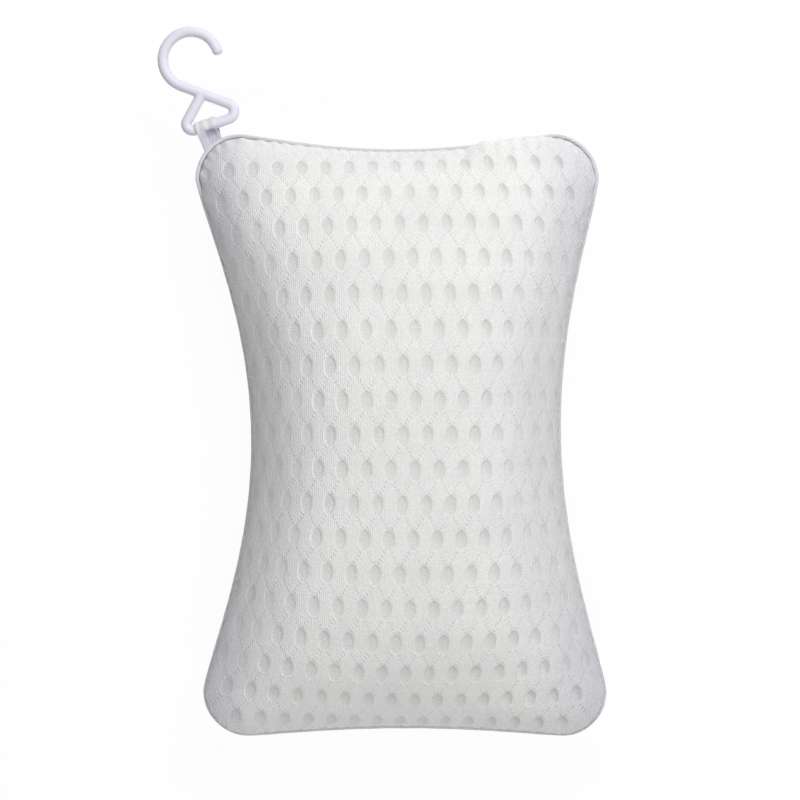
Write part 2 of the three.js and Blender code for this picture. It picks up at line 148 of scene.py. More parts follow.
# Points, cells and steps of the meshes
CORNER_POINTS, SIDE_POINTS, END_POINTS = 24, 200, 160
RING_CROWDING, RING_CROWDING_POWER = 0.8, 8
ARC_STEPS, STEEP_STEPS, STEEPEST = 600, 60, 1.2
COVER_CELLS, FIBRE_CELLS, COARSENESS = (232, 348), (72, 108), 4
LINING_CELLS = [count // COARSENESS for count in COVER_CELLS]
PIPING_RINGS, PIPING_SIDES = 1500, 12
ROD_SIDES, ROD_STEP, RING_STEPS, BEND_STEPS, TIP_STEPS = 28, 0.0007, 90, 20, 8
FUSING_CELL, SMOOTHING_SHARE, SMOOTHING_PASSES, JOINING_DISTANCE = 0.00034, 0.5, 9, 0.00003
STRAP_STEPS, STRAP_CELLS, WRAP_STEPS = 120, 36, 60
CUP_SIDES, CUP_STEPS = 72, 24

# Camera, lights and floor
CAMERA_LENS, SENSOR_WIDTH, VIEW_WIDTH = 85, 36, 0.48
CAMERA_MIDDLE = (0.010774, -0.01133)
LIGHT_TARGET = (0, 0, 0.05)
LIGHTS = (
    ("top softbox", (0.2, 1.1, 1.1), (1.0, 0.6), 18),
    ("corner softbox", (0.75, 0.85, 1.1), (0.8, 0.8), 5.5),
    ("bottom softbox", (0, -1.1, 1.1), (1.0, 0.6), 12),
)
WORLD_STRENGTH, WHITE = 0.06, (1, 1, 1)
FLOOR_REACH, FLOOR_DROP, FLOOR_WHITE_SHARE = 3.0, 0.0003, 0.955

# Cover mesh: its ovals and their lips, in oval sizes, and the arms of slanted stitches between ovals
INSIDE_RANGE, LIP_PLACE, LIP_WIDTH = (0.86, 1.06), 1.12, 0.12
LIP_LEAN, LIP_FOOT_RANGE, LIP_TIP_SHARE = 0.6, (0.8, -0.8), 0.2
ARM_START, ARM_SPREAD, ARM_HALF_WIDTH = 0.0013, 0.56, 0.0011
ARM_BEFORE, ARM_WITHIN, ARM_OPEN_RANGE = 0.0012, 0.0004, (0, 0.4)
STITCH_SLANT, STITCH_SPACING, STITCH_PHASE, SLIT_POWER = 1.38, 0.00344, 0.49, 1.6

# Cover mesh: its relief, its colours and the tones of its shaded parts
LOOP_HEIGHT, LADDERS_PER_ROW, LADDER_HEIGHT = 0.6, 1.3 * STITCHES_PER_ROW, 0.35
GRAIN_HEIGHT, SLIT_DEPTH, KNIT_BUMP = 0.7, 1.6, (0.0002, 0.8)
GRAIN, MOTTLE, NOISE_RANGE = (950, 2), (38, 4), (0.3, 0.7)
CLOTH_COLOURS = (0.85, 0.85, 0.843), (0.885, 0.885, 0.875)
# The arms' colour here is a painted highlight on their raised stitches, and the flanks' colour is painted
# shade
ARM_HIGHLIGHT_SHARE, ARM_HIGHLIGHT_COLOUR, PAINTED_SHADE_COLOUR = 0.5, (0.93, 0.93, 0.925), (0.72, 0.715, 0.765)
PARTING_TONE, GRAIN_TONE, SLIT_TONE, INNER_AND_SHADE_TONE = 0.93, 0.90, 0.86, 0.72
# The ovals' darkening: an even part for their greyer inner layer, and painted shade that slants to their
# tip and, more in the right-hand columns, to their right side
RIGHT_RANGE, SHADE_SLANT_ALONG, SHADE_SLANT_ACROSS, SHADE_SLANT_TO_RIGHT = (0, 7), 0.8, 0.25, 0.6
SHADE_SLANT_RANGE, EVENNESS, EVENNESS_TO_RIGHT, DARKENING_AT_LEFT = (-0.9, 1), 0.45, -0.35, 0.72

# Piping cloth and strap
THREAD, PIPING_PARTING, PIPING_THREAD_SHARE, PIPING_BUMP = 0.0006, 0.4, 0.6, (0.00018, 0.9)
PIPING_COLOURS = (0.76, 0.75, 0.80), (0.84, 0.835, 0.87)
STRAP_WARPS, STRAP_WEFTS, WARP_RAISE, WEFT_RAISE, WARP_TONE = 20, 60, 0.6, 0.3, 0.94
# The strap's colours: lit over the bar and painted shade below it; the hollow's colour is painted shade in
# its fold
BELOW_BAR_RANGE, STRAP_BUMP = (0.2, 0.33), (0.00014, 0.8)
STRAP_LIT_AND_SHADED_COLOURS, HOLLOW_SHADE_COLOUR = ((0.84, 0.84, 0.86), (0.62, 0.61, 0.68)), (0.42, 0.40, 0.52)
SEWN_RANGE, SEWN_END_RANGE = (0.87, 0.885), (0.935, 0.92)
SEWING_SLANT, SEWING_SPACING, SEWING_RANGE, SEWING_SHARE = 2.0, 5.6, (0.7, 0.95), 0.45
SEWING_COLOUR = (0.9, 0.9, 0.91)

# Plain finishes: roughness, colours, scale and detail of the mottle and of the bump, the bump's size
FIBRE_LOOK = 1.0, ((0.7, 0.7, 0.69), (0.9, 0.9, 0.89)), (260, 6), (260, 6), (0.002, 1.0)
HOOK_LOOK = 0.5, ((0.70, 0.686, 0.78), (0.75, 0.736, 0.825)), (120, 3), (700, 2), (0.00004, 0.5)
VINYL_LOOK = 0.12, ((0.9, 0.92, 0.95), (0.96, 0.97, 0.985)), (60, 2), (90, 1), (0.0002, 0.3)
WASHER_LOOK = 0.45, ((0.76, 0.76, 0.77), (0.84, 0.84, 0.85)), (150, 2), (800, 2), (0.00003, 0.6)
FLOOR_ROUGHNESS, FLOOR_COLOUR = 0.9, (0.9, 0.9, 0.9)

# The Mix node's sockets for colours: its share, its two colours and its result
MIX_INPUTS, MIX_RESULT = (0, 6, 7), 2


def smooth(low, high, value):
    """From 0 below low to 1 above high, with soft ends."""
    share = np.clip((value - low) / (high - low), 0, 1)
    return share * share * (3 - 2 * share)


def bow(place):
    return np.clip(1 - place**2, 0, None) ** BOW_POWER


def unit(vectors):
    return vectors / np.maximum(np.linalg.norm(vectors, axis=-1, keepdims=True), TINY)


def right_of(ahead):
    """Directions at a quarter turn clockwise from directions of travel."""
    return np.stack([ahead[:, 1], -ahead[:, 0]], 1)


def ring_angles(sides):
    return TURN * np.arange(sides) / sides


def corner_arc(side, end, inset, first, last):
    """Points on a rounded corner, between two angles from the long side's."""
    radius = CORNER_RADIUS - inset
    angle = np.linspace(first, last, CORNER_POINTS)
    x = side * (END_REACH + radius * np.cos(angle))
    y = end * (SIDE_REACH + radius * np.sin(angle))
    return np.stack([x, y], 1)


def side_line(side, draw_in, inset):
    """A long side, from the middle of its lower corner to the middle of its upper one."""
    place = np.linspace(-1, 1, SIDE_POINTS)[1:-1]
    x = side * (HALF_WIDTH - inset - draw_in * bow(place))
    lower, upper = [corner_arc(side, end, inset, TURN / 8, 0) for end in (-1, 1)]
    return np.concatenate([lower, np.stack([x, place * SIDE_REACH], 1), upper[::-1]])


def end_line(end, dip, inset):
    """A short end, from the middle of its left corner to the middle of its right one."""
    place = np.linspace(-1, 1, END_POINTS)[1:-1]
    y = end * (HALF_LENGTH - inset - dip * bow(place))
    left, right = [corner_arc(side, end, inset, TURN / 4, TURN / 8) for side in (-1, 1)]
    return np.concatenate([left[::-1], np.stack([place * END_REACH, y], 1), right])


def along_line(line, share):
    """Points at shares of a line's length."""
    steps = np.linalg.norm(np.diff(line, axis=0), axis=1)
    length = np.concatenate([[0], np.cumsum(steps)])
    at = share * length[-1]
    return np.stack([np.interp(at, length, line[:, 0]), np.interp(at, length, line[:, 1])], -1)


def outline_lines(inset):
    """The outline's bottom, right side, top and left side."""
    return [
        end_line(-1, BOTTOM_DIP, inset), side_line(1, RIGHT_DRAW_IN, inset),
        end_line(1, TOP_DIP, inset), side_line(-1, LEFT_DRAW_IN, inset),
    ]


def outline_points(inset, count):
    """Evenly spaced points round the cushion, counterclockwise, before they lean."""
    bottom, right, top, left = outline_lines(inset)
    ring = np.concatenate([bottom, right, top[::-1], left[::-1], bottom[:1]])
    return along_line(ring, np.arange(count) / count)


def plan_grid(cells, inset):
    """Plan points of a grid whose square rings become scaled outlines, each point's share of the way
    out, and its outline point. Rings crowd near the edge, where the surface steepens."""
    steps = [np.linspace(-1, 1, count + 1) for count in cells]
    across, along = np.meshgrid(*steps, indexing="ij")
    ring = np.maximum(np.abs(across), np.abs(along))
    share = ring + RING_CROWDING * ring**RING_CROWDING_POWER * (1 - ring)
    on_side = np.abs(across) > np.abs(along)
    place = (np.where(on_side, along, across) / np.where(ring > 0, ring, 1) + 1) / 2
    bottom, left = ~on_side & (along < 0), on_side & (across < 0)
    edge = np.zeros((*ring.shape, 2))
    for part, line in zip((bottom, on_side & ~left, ~on_side & ~bottom, left), outline_lines(inset)):
        edge[part] = along_line(line, place[part])
    return edge * share[..., None], share, edge


def edge_reach(place, straight, corner, half, dip, inset):
    """How far the outline lies from a middle line, at a place along that line."""
    past = np.abs(place) - straight
    arc = corner + np.sqrt(np.clip((CORNER_RADIUS - inset) ** 2 - past**2, 0, None))
    line = half - inset - dip * bow(np.clip(place / straight, -1, 1))
    return np.where(past > 0, arc, line)


def reaches(x, y, inset):
    draw_in = np.where(x < 0, LEFT_DRAW_IN, RIGHT_DRAW_IN)
    dip = np.where(y < 0, BOTTOM_DIP, TOP_DIP)
    across = edge_reach(y, SIDE_REACH, END_REACH, HALF_WIDTH, draw_in, inset)
    along = edge_reach(x, END_REACH, SIDE_REACH, HALF_LENGTH, dip, inset)
    return across, along


def crown_room(share):
    return np.clip(1 - np.abs(share) ** CROWN_POWER, 0, None) ** CROWN_SHOULDER_POWER


def crown_level(plan, inset, middle, edge):
    x, y = plan[..., 0], plan[..., 1]
    across, along = reaches(x, y, inset)
    return edge + (middle - edge) * crown_room(x / across) * crown_room(y / along)


def back_drop(share):
    past = np.clip((share - PLATEAU_SHARE) / (1 - PLATEAU_SHARE), 0, 1)
    return (1 - past**2) ** BACK_SHOULDER_POWER


def back_level(share, depth):
    return -SEAM_GAP - (depth - SEAM_GAP) * back_drop(share)


def leaned(plan, level):
    x = plan[..., 0] - END_LEAN * plan[..., 1] / HALF_LENGTH
    return np.stack([x, plan[..., 1], np.broadcast_to(level, x.shape)], -1)


def surface_normals(points):
    """Unit normals of a grid of points, on the side that sees the grid turn counterclockwise."""
    return unit(np.cross(np.gradient(points, axis=0), np.gradient(points, axis=1)))


def arc_table():
    """Lengths along the crown's profile, in reaches, for each steepness of its height over its reach."""
    share = 1 - (1 - np.linspace(0, 1, ARC_STEPS)) ** 2
    rise = crown_room(share)
    steepness = np.linspace(0, STEEPEST, STEEP_STEPS + 1)
    rows = [np.cumsum(np.hypot(np.diff(share), steep * np.diff(rise))) for steep in steepness]
    return np.array([np.concatenate([[0], row]) for row in rows])


ARC_TABLE = arc_table()


def profile_length(share, steepness):
    """Length along the profile from the middle to a share of the reach."""
    row_at = steepness / (STEEPEST / STEEP_STEPS)
    column_at = (1 - np.sqrt(1 - np.clip(np.abs(share), 0, 1))) * (ARC_STEPS - 1)
    row = np.minimum(row_at.astype(int), STEEP_STEPS - 1)
    column = np.minimum(column_at.astype(int), ARC_STEPS - 2)
    up, on = row_at - row, column_at - column
    low, high = [
        ARC_TABLE[at, column] * (1 - on) + ARC_TABLE[at, column + 1] * on for at in (row, row + 1)
    ]
    return np.sign(share) * (low * (1 - up) + high * up)


def crown_cloth(plan):
    """Where a point of the front lies in its cloth, measured over the crown."""
    x, y = plan[..., 0], plan[..., 1]
    across, along = reaches(x, y, PANEL_INSET)
    cloth_x = across * profile_length(x / across, CROWN_HEIGHT * crown_room(y / along) / across)
    cloth_y = along * profile_length(y / along, CROWN_HEIGHT * crown_room(x / across) / along)
    return np.stack([cloth_x, cloth_y], -1)


def back_cloth(plan, share, edge):
    """Where a point of the back lies in its cloth, measured over the rounded shoulder."""
    steps = np.linspace(0, 1, ARC_STEPS)
    reach = np.linalg.norm(edge, axis=-1).mean()
    length = np.cumsum(np.hypot(np.diff(steps), BACK_DEPTH / reach * np.diff(back_drop(steps))))
    stretched = np.interp(share, steps, np.concatenate([[0], length]))
    scale = np.where(share > 0, stretched / np.maximum(share, TINY), 1)
    return plan * scale[..., None]


def lattice(cloth):
    """A place in the cloth as its column and row among the ovals."""
    x, y = cloth[..., 0], cloth[..., 1]
    row = (y - FIRST_ROW_PLACE) / ROW_PITCH - ROW_EASE * y**2 - ROW_STRETCH * y**3 + ROW_RECOVERY * y**5
    row = row - ROW_BOW * x**2 - ROW_SHEAR * x * y + ROW_FAN * x**2 * y
    middle = MIDDLE_COLUMN_PLACE - MIDDLE_COLUMN_BOW * (y - BOW_PLACE) ** 2
    column = (x - middle) / COLUMN_PITCH + COLUMN_DRIFT * x**2 - COLUMN_STRETCH * x**3
    return column - COLUMN_SHEAR * x * y + COLUMN_FAN * x * y**2, row


def oval_offsets(column, row):
    """Offsets, in metres, from the nearest oval."""
    nearest = np.round(row)
    shifted = column - nearest % 2 / 2
    return (shifted - np.round(shifted)) * COLUMN_PITCH, (row - nearest) * ROW_PITCH


def oval_relief(column, row):
    """How far the cloth's face sinks in its ovals, which are round at the foot and pointed at the tip."""
    across, along = oval_offsets(column, row)
    height = along / OVAL_HALF_HEIGHT
    power = ROUND_POWER + (TIP_POWER - ROUND_POWER) * smooth(0, 1, height)
    rounding = np.where(height < 0, FOOT_POWER, ROUND_POWER)
    reach = (np.abs(across) / OVAL_HALF_WIDTH) ** power + np.abs(height) ** rounding
    sunk = 1 - smooth(1 - OVAL_EDGE_SHARE, 1 + OVAL_EDGE_SHARE, np.sqrt(reach))
    deepening = OVAL_FOOT_SHARE + (1 - OVAL_FOOT_SHARE) * smooth(-1, 1, height)
    return -OVAL_DEPTH * deepening * sunk


def wale_lines(column, row):
    """A coordinate across the knit's wales, which stand close beside each oval."""
    across, along = oval_offsets(column, row)
    across = across / COLUMN_PITCH
    parting = WALE_PARTING * np.exp(-((along / OVAL_HALF_HEIGHT) ** 2))
    squeezed = np.sign(across) * np.clip(np.abs(across) - parting, 0, None) / (1 - 2 * parting)
    return column - across + squeezed


def openness(height, plan, row, normals):
    """1 where the ovals are open, and less where the cloth is pulled flat or closes them."""
    to_right = smooth(0, 1, plan[..., 0] / HALF_WIDTH)
    closed, opened = CLOSED_BELOW + CLOSED_TO_RIGHT * to_right, OPEN_ABOVE + OPEN_TO_RIGHT * to_right
    steep = smooth(*SLOPE_RANGE, np.abs(normals[..., 0]))
    steep = steep * (1 - smooth(*SLOPE_END_RANGE, np.abs(plan[..., 1]) / HALF_LENGTH))
    past_last = smooth(*CLOSED_ROW_RANGE, row)
    return smooth(closed, opened, height) * (1 - (1 - SLOPE_SHARE) * steep) * (1 - past_last)


def near_loop(plan):
    """1 at the corner that holds the loop, and less farther away."""
    away = np.hypot(plan[..., 0] + HALF_WIDTH, plan[..., 1] - HALF_LENGTH)
    return np.exp(-((away / CORNER_REACH) ** 2))


def rim_swell(plan, share):
    """How far the cloth swells out over the piping, least at the loop's corner and most at the two
    lower corners, and its sewn puckers."""
    x, y = plan[..., 0], plan[..., 1]
    angle = np.arctan2(y, x)
    around = PUCKERS_ROUND * angle
    for size, waves, phase in PUCKER_DRIFTS:
        around = around + size * np.sin(waves * angle + phase)
    at_loop = near_loop(plan)
    at_foot = np.exp(-((np.hypot(np.abs(x) - HALF_WIDTH, y + HALF_LENGTH) / FOOT_REACH) ** 2))
    swell = SWELL - CORNER_SLACKENING * at_loop + FOOT_FULLNESS * at_foot
    pucker = PUCKER + CORNER_PUCKER * at_loop
    over_piping = smooth(SWELL_STARTS, SWELL_PEAK, share) * (1 - smooth(SWELL_PEAK, 1, share))
    sewn = smooth(SEWN_STARTS, SWELL_PEAK, share) * (1 - smooth(SEWN_FADES, 1, share))
    return swell * over_piping + pucker * np.sin(around) * sewn + closing_lump(x, y, share)


def closing_share(x, y):
    """1 on the stretch of the top edge where the cover was drawn shut by hand."""
    begun = smooth(CLOSING_START, CLOSING_START + CLOSING_RAMP, x)
    ended = smooth(CLOSING_END - CLOSING_RAMP, CLOSING_END, x)
    return begun * (1 - ended) * smooth(*CLOSING_EDGE_RANGE, y / HALF_LENGTH)


def closing_lump(x, y, share):
    """The wrinkled bulge of cloth over the closing."""
    wrinkles = 1 + CLOSING_WRINKLE * np.sin(TURN * x / CLOSING_WRINKLE_SPACING)
    across = smooth(*CLOSING_LUMP_RANGE, share) * (1 - smooth(SWELL_PEAK, 1, share))
    height = CLOSING_LUMP * (1 - CLOSING_FALL * smooth(CLOSING_START, CLOSING_END, x))
    return height * closing_share(x, y) * wrinkles * across


def painted_flank_shade(plan, share, normals):
    """How far the cloth's colour turns to a painted shade colour, on steep flanks, at the rim and at the
    corners.
    """
    steep = smooth(*FLANK_RANGE, np.abs(normals[..., 0]))
    rim = smooth(*RIM_RANGE, share) * (1 - closing_share(plan[..., 0], plan[..., 1]))
    to_side = smooth(*CORNER_SIDE_RANGE, np.abs(plan[..., 0]) / HALF_WIDTH)
    to_end = smooth(*CORNER_END_RANGE, np.abs(plan[..., 1]) / HALF_LENGTH)
    return np.maximum(FLANK_SHADE * steep + CORNER_SHADE * to_side * to_end, RIM_SHADE * rim)


def cloth_waves(points):
    """Soft unevenness of a cover over loose fibre."""
    waves = 0
    for size, *slants in WAVES:
        for to_x, to_y, phase in slants:
            size = size * np.sin(to_x * points[..., 0] + to_y * points[..., 1] + phase)
        waves = waves + size
    return WAVE_HEIGHT * waves


def grid_indices(cells, start):
    sizes = [count + 1 for count in cells]
    return start + np.arange(math.prod(sizes)).reshape(sizes)


def grid_faces(cells, start):
    index = grid_indices(cells, start)
    quads = [index[:-1, :-1], index[1:, :-1], index[1:, 1:], index[:-1, 1:]]
    return np.stack([quad.ravel() for quad in quads], 1)


def two_sheets(cells, back_cells, count):
    """Faces of a grid, and of a second grid behind its points that looks the other way."""
    return grid_faces(cells, 0).tolist() + grid_faces(back_cells, count)[:, ::-1].tolist()


def rim_indices(cells, start):
    """A grid's outermost points, counterclockwise from its lowest corner."""
    index = grid_indices(cells, start)
    return np.concatenate([index[:-1, 0], index[-1, :-1], index[:0:-1, -1], index[0, :0:-1]])


def tube_faces(rings, sides, closed):
    ring, side = np.meshgrid(np.arange(rings if closed else rings - 1), np.arange(sides), indexing="ij")
    following, turned = (ring + 1) % rings, (side + 1) % sides
    pairs = ((ring, side), (ring, turned), (following, turned), (following, side))
    return np.stack([(first * sides + second).ravel() for first, second in pairs], 1).tolist()


def put_in_scene(name, data):
    thing = bpy.data.objects.new(name, data)
    bpy.context.scene.collection.objects.link(thing)
    return thing


def make_piece(name, points, faces, material, body):
    mesh = bpy.data.meshes.new(name)
    places = np.asarray(points).reshape(-1, 3).tolist()
    mesh.from_pydata(places, [], [list(map(int, face)) for face in faces])
    mesh.validate()
    mesh.polygons.foreach_set("use_smooth", np.ones(len(mesh.polygons), bool))
    mesh.materials.append(material)
    piece = put_in_scene(name, mesh)
    if body:
        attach(piece, body)
    return piece


def set_attribute(mesh, name, values):
    attribute = mesh.attributes.new(name, "FLOAT", "POINT")
    attribute.data.foreach_set("value", values.astype(np.float32))


def set_map(mesh, name, across, along):
    """A UV map from two numbers at each point."""
    layer = mesh.uv_layers.new(name=name)
    corners = np.empty(len(mesh.loops), int)
    mesh.loops.foreach_get("vertex_index", corners)
    pairs = np.stack([across[corners], along[corners]], 1)
    layer.data.foreach_set("uv", pairs.ravel().astype(np.float32))


def rework(piece, change):
    """Makes a change to a piece's mesh."""
    build = bmesh.new()
    build.from_mesh(piece.data)
    change(build)
    build.to_mesh(piece.data)
    build.free()


def face_outwards(piece):
    rework(piece, lambda build: bmesh.ops.recalc_face_normals(build, faces=build.faces))


def join_doubles(build):
    bmesh.ops.remove_doubles(build, verts=build.verts, dist=JOINING_DISTANCE)


def panel_faces(count):
    """Faces of a panel's outer grid, of its coarser lining, and of a band that joins their rims."""
    faces = two_sheets(COVER_CELLS, LINING_CELLS, count)
    fine, coarse = rim_indices(COVER_CELLS, 0), rim_indices(LINING_CELLS, count)
    for index, point in enumerate(coarse):
        first = index * COARSENESS
        run = [fine[(first + step) % len(fine)] for step in range(COARSENESS, -1, -1)]
        faces.append([point, coarse[(index + 1) % len(coarse)], *run])
    return faces


def dressed_cover(name, material, side, plan, share, base, cloth, fullness, lining):
    """A closed panel with its ovals, rim and painted shade. side is 1 for the front and -1 for the back.
    """
    normals = surface_normals(base)
    column, row = lattice(cloth)
    open_share = openness(side * base[..., 2], plan, row, normals)
    relief = oval_relief(column, row) * open_share + fullness
    outer = base + side * normals * relief[..., None]
    # The rim runs on under the piping, so that the seam shows no gap
    rim, _, _ = plan_grid(COVER_CELLS, PANEL_INSET - SEAM_TUCK)
    outer[share >= 1] = leaned(rim, side * SEAM_GAP)[share >= 1]
    points = np.concatenate([outer.reshape(-1, 3), lining.reshape(-1, 3)]) + PILLOW_PLACE
    piece = make_piece(name, points, panel_faces(share.size), material, "pillow")

    def with_lining(values):
        return np.pad(values.ravel(), (0, lining[..., 0].size))

    # The shade attribute holds how far the cloth takes the painted shade colour
    for label, values in (("openness", open_share), ("shade", painted_flank_shade(plan, share, normals))):
        set_attribute(piece.data, label, with_lining(values))
    for label, across in (("lattice", column), ("wales", wale_lines(column, row))):
        set_map(piece.data, label, with_lining(across), with_lining(row))
    face_outwards(piece)
    return piece


def front_cover(material):
    plan, share, _ = plan_grid(COVER_CELLS, PANEL_INSET)
    base = leaned(plan, crown_level(plan, PANEL_INSET, CROWN_HEIGHT, SEAM_GAP))
    fullness = cloth_waves(base) * (1 - smooth(*WAVE_END_RANGE, share)) + rim_swell(plan, share)
    inner, _, _ = plan_grid(LINING_CELLS, LINING_INSET)
    lining = leaned(inner, crown_level(inner, LINING_INSET, LINING_HEIGHT, SEAM_GAP))
    cloth = crown_cloth(plan)
    piece = dressed_cover("front_cover", material, 1, plan, share, base, cloth, fullness, lining)
    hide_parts("front_panel")


def back_cover(material):
    plan, share, edge = plan_grid(COVER_CELLS, PANEL_INSET)
    base = leaned(plan, back_level(share, BACK_DEPTH))
    fullness = rim_swell(plan, share) * (1 - near_loop(plan))
    inner, inner_share, _ = plan_grid(LINING_CELLS, LINING_INSET)
    lining = leaned(inner, back_level(inner_share, LINING_DEPTH))
    cloth = back_cloth(plan, share, edge)
    piece = dressed_cover("back_cover", material, -1, plan, share, base, cloth, fullness, lining)
    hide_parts("back_panel")


def edge_piping(material):
    radius, angle = PIPING_DIAMETER / 2, ring_angles(PIPING_SIDES)
    path = leaned(outline_points(radius, PIPING_RINGS), 0.0)
    ahead = unit(np.roll(path, -1, 0) - np.roll(path, 1, 0))
    outwards = np.pad(right_of(ahead), ((0, 0), (0, 1)))
    around = np.arange(PIPING_RINGS) / PIPING_RINGS
    pinch = 1 - PINCH * (1 + np.cos(TURN * PINCHES * around)) / 2
    pinch = pinch - UNEVENNESS * np.sin(TURN * UNEVEN_WAVES * around + UNEVEN_PHASE)
    section = np.cos(angle)[:, None] * outwards[:, None] + np.sin(angle)[:, None] * UPWARD
    points = path[:, None] + radius * pinch[:, None, None] * section + PILLOW_PLACE
    faces = tube_faces(PIPING_RINGS, PIPING_SIDES, True)
    piece = make_piece("seam_piping", points, faces, material, "pillow")
    length = around * np.linalg.norm(np.roll(path, -1, 0) - path, axis=1).sum()
    along, turn = np.meshgrid(length, angle * radius, indexing="ij")
    set_map(piece.data, "weave", turn.ravel(), along.ravel())
    face_outwards(piece)
    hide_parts("edge_piping")


def fibre_block(material):
    """The filling, crowned like the lining that it presses against, and lumpy."""
    inset = LINING_INSET + FILLING_ROOM
    plan, share, _ = plan_grid(FIBRE_CELLS, inset)
    lumps = 1 + np.sin(plan @ FIBRE_SLANT) * np.sin(FIBRE_RISE * plan[..., 1])
    lumps = FIBRE_LUMP * (1 - share**FIBRE_LUMP_POWER) * lumps
    upper = leaned(plan, crown_level(plan, inset, LINING_HEIGHT - FILLING_ROOM, 0) - lumps)
    lower = leaned(plan, (FILLING_ROOM - LINING_DEPTH) * back_drop(share) + lumps)
    points = np.concatenate([upper.reshape(-1, 3), lower.reshape(-1, 3)]) + PILLOW_PLACE
    faces = two_sheets(FIBRE_CELLS, FIBRE_CELLS, share.size)
    piece = make_piece("fibre_block", points, faces, material, "pillow")
    rework(piece, join_doubles)
    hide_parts("fibre_filling")


def step_along(place, heading, distance):
    return place + distance * np.array([math.cos(heading), math.sin(heading)])


def arc_places(centre, start, end, radius, steps):
    """Points on an arc, given by the headings of travel at its ends. Clockwise where the heading falls."""
    side = -1 if end > start else 1
    headings = np.linspace(start, end, steps + 1)
    return [step_along(centre, heading + side * TURN / 4, radius) for heading in headings]


def bend_places(corner, start, end, radius):
    entry = step_along(corner, start, -radius * math.tan((start - end) / 2))
    centre = step_along(entry, start - TURN / 4, radius)
    return arc_places(centre, start, end, radius, BEND_STEPS)


def hook_path():
    """The rod's middle line in the hook's plane, from the ring's tip to the top of the eye."""
    near, far = np.array([-LOOP_ON_BAR, 0]), np.array([BAR_LENGTH - LOOP_ON_BAR, 0])
    ring_centre = np.array([RING_SETBACK - LOOP_ON_BAR, RING_RISE])
    run = ring_centre[0] - far[0]
    slope = math.atan2(RING_RISE, run) + math.asin(RING_RADIUS / math.hypot(run, RING_RISE))
    far_angle = math.pi - slope
    leg = BAR_LENGTH * math.sin(far_angle) / math.sin(LEG_ANGLE + far_angle)
    return np.array(
        arc_places(ring_centre, TURN / 4, slope + math.pi, RING_RADIUS, RING_STEPS)
        + bend_places(far, slope + math.pi, math.pi, FAR_BEND_RADIUS)
        + bend_places(near, math.pi, LEG_ANGLE, NEAR_BEND_RADIUS)
        + [step_along(near, LEG_ANGLE, leg)]
    )


def hook_place(across, reach, level):
    """A point given along the bar, away from the pillow and up, from the middle of the loop's seat."""
    across, reach, level = np.broadcast_arrays(across, reach, level)
    in_plane = across[..., None] * ALONG_BAR + reach[..., None] * OUTWARD
    return BAR_PLACE + in_plane + level[..., None] * UPWARD


def moulded_hook(material):
    path, radius, angle = hook_path(), ROD_DIAMETER / 2, ring_angles(ROD_SIDES)
    length = np.linalg.norm(np.diff(path, axis=0), axis=1).sum()
    path = along_line(path, np.linspace(0, 1, int(length / ROD_STEP)))
    ahead = unit(np.gradient(path, axis=0))
    rounded = np.linspace(0, TURN / 4, TIP_STEPS + 1)[:-1, None]
    tip = path[0] - ahead[0] * TIP_FILLET * np.cos(rounded)
    radii = np.concatenate([radius - TIP_FILLET * (1 - np.sin(rounded)), np.full((len(path), 1), radius)])
    side = -right_of(np.concatenate([np.repeat(ahead[:1], TIP_STEPS, 0), ahead]))
    path = np.concatenate([tip, path])
    across = path[:, None] + side[:, None] * (radii * np.cos(angle))[..., None]
    points = hook_place(across[..., 0], across[..., 1], radii * np.sin(angle))
    faces = tube_faces(len(path), ROD_SIDES, False)
    last = (len(path) - 1) * ROD_SIDES
    faces += [list(range(ROD_SIDES))[::-1], [last + turn for turn in range(ROD_SIDES)]]
    piece = make_piece("moulded_hook", points, faces, material, "hook")
    face_outwards(piece)
    blend_together(piece)
    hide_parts("hook")


def blend_together(piece):
    """Fuses what overlaps in a piece, with soft fillets where its parts meet."""
    remesh = piece.modifiers.new("fuse", "REMESH")
    remesh.mode, remesh.voxel_size, remesh.use_smooth_shade = "VOXEL", FUSING_CELL, True
    soften = piece.modifiers.new("soften", "SMOOTH")
    soften.factor, soften.iterations = SMOOTHING_SHARE, SMOOTHING_PASSES
    graph = bpy.context.evaluated_depsgraph_get()
    mesh = bpy.data.meshes.new_from_object(piece.evaluated_get(graph))
    piece.modifiers.clear()
    piece.data = mesh


def strap_path(radius):
    """The strap's middle line in section, from its root under the bar, round it and back."""
    wrap = math.acos(-radius / LOOP_REACH)
    arc = np.linspace(-wrap, wrap, WRAP_STEPS)
    round_bar = np.stack([LOOP_REACH + radius * np.cos(arc), radius * np.sin(arc)], 1)
    root = np.zeros((1, 2))
    return np.concatenate([root, round_bar, root])


def seam_depth(across):
    """How far the strap runs on past its root, to end inside the seam at the cushion's round corner."""
    corner = np.array([-END_REACH - END_LEAN * SIDE_REACH / HALF_LENGTH, SIDE_REACH]) + PILLOW_PLACE[:2]
    root = LOOP_ROOT[:2] - corner
    along = across + root @ ALONG_BAR[:2]
    ring = CORNER_RADIUS - STRAP_TUCK
    return root @ OUTWARD[:2] - np.sqrt(ring**2 - along**2)


def strap_folds(place, to_near, to_root):
    """How far the near ply sinks between its left crease and its right fold, and bunches on the bar."""
    beside = smooth(*CREASE_RANGE, place) * (1 - FOLD_SHARE * smooth(*FOLD_RANGE, place))
    below_bar = smooth(*SAG_RANGE, to_root) * (1 - smooth(*SAG_END_RANGE, to_root))
    sunk = NEAR_PLY_SAG * (beside * (below_bar * to_near)[:, None])
    over_bar = (1 - smooth(*BUNCHING_END_RANGE, to_root))[:, None]
    return STRAP_BUNCHING * np.sin(TURN * (BUNCHES * place + BUNCH_PHASE)) * over_bar - sunk


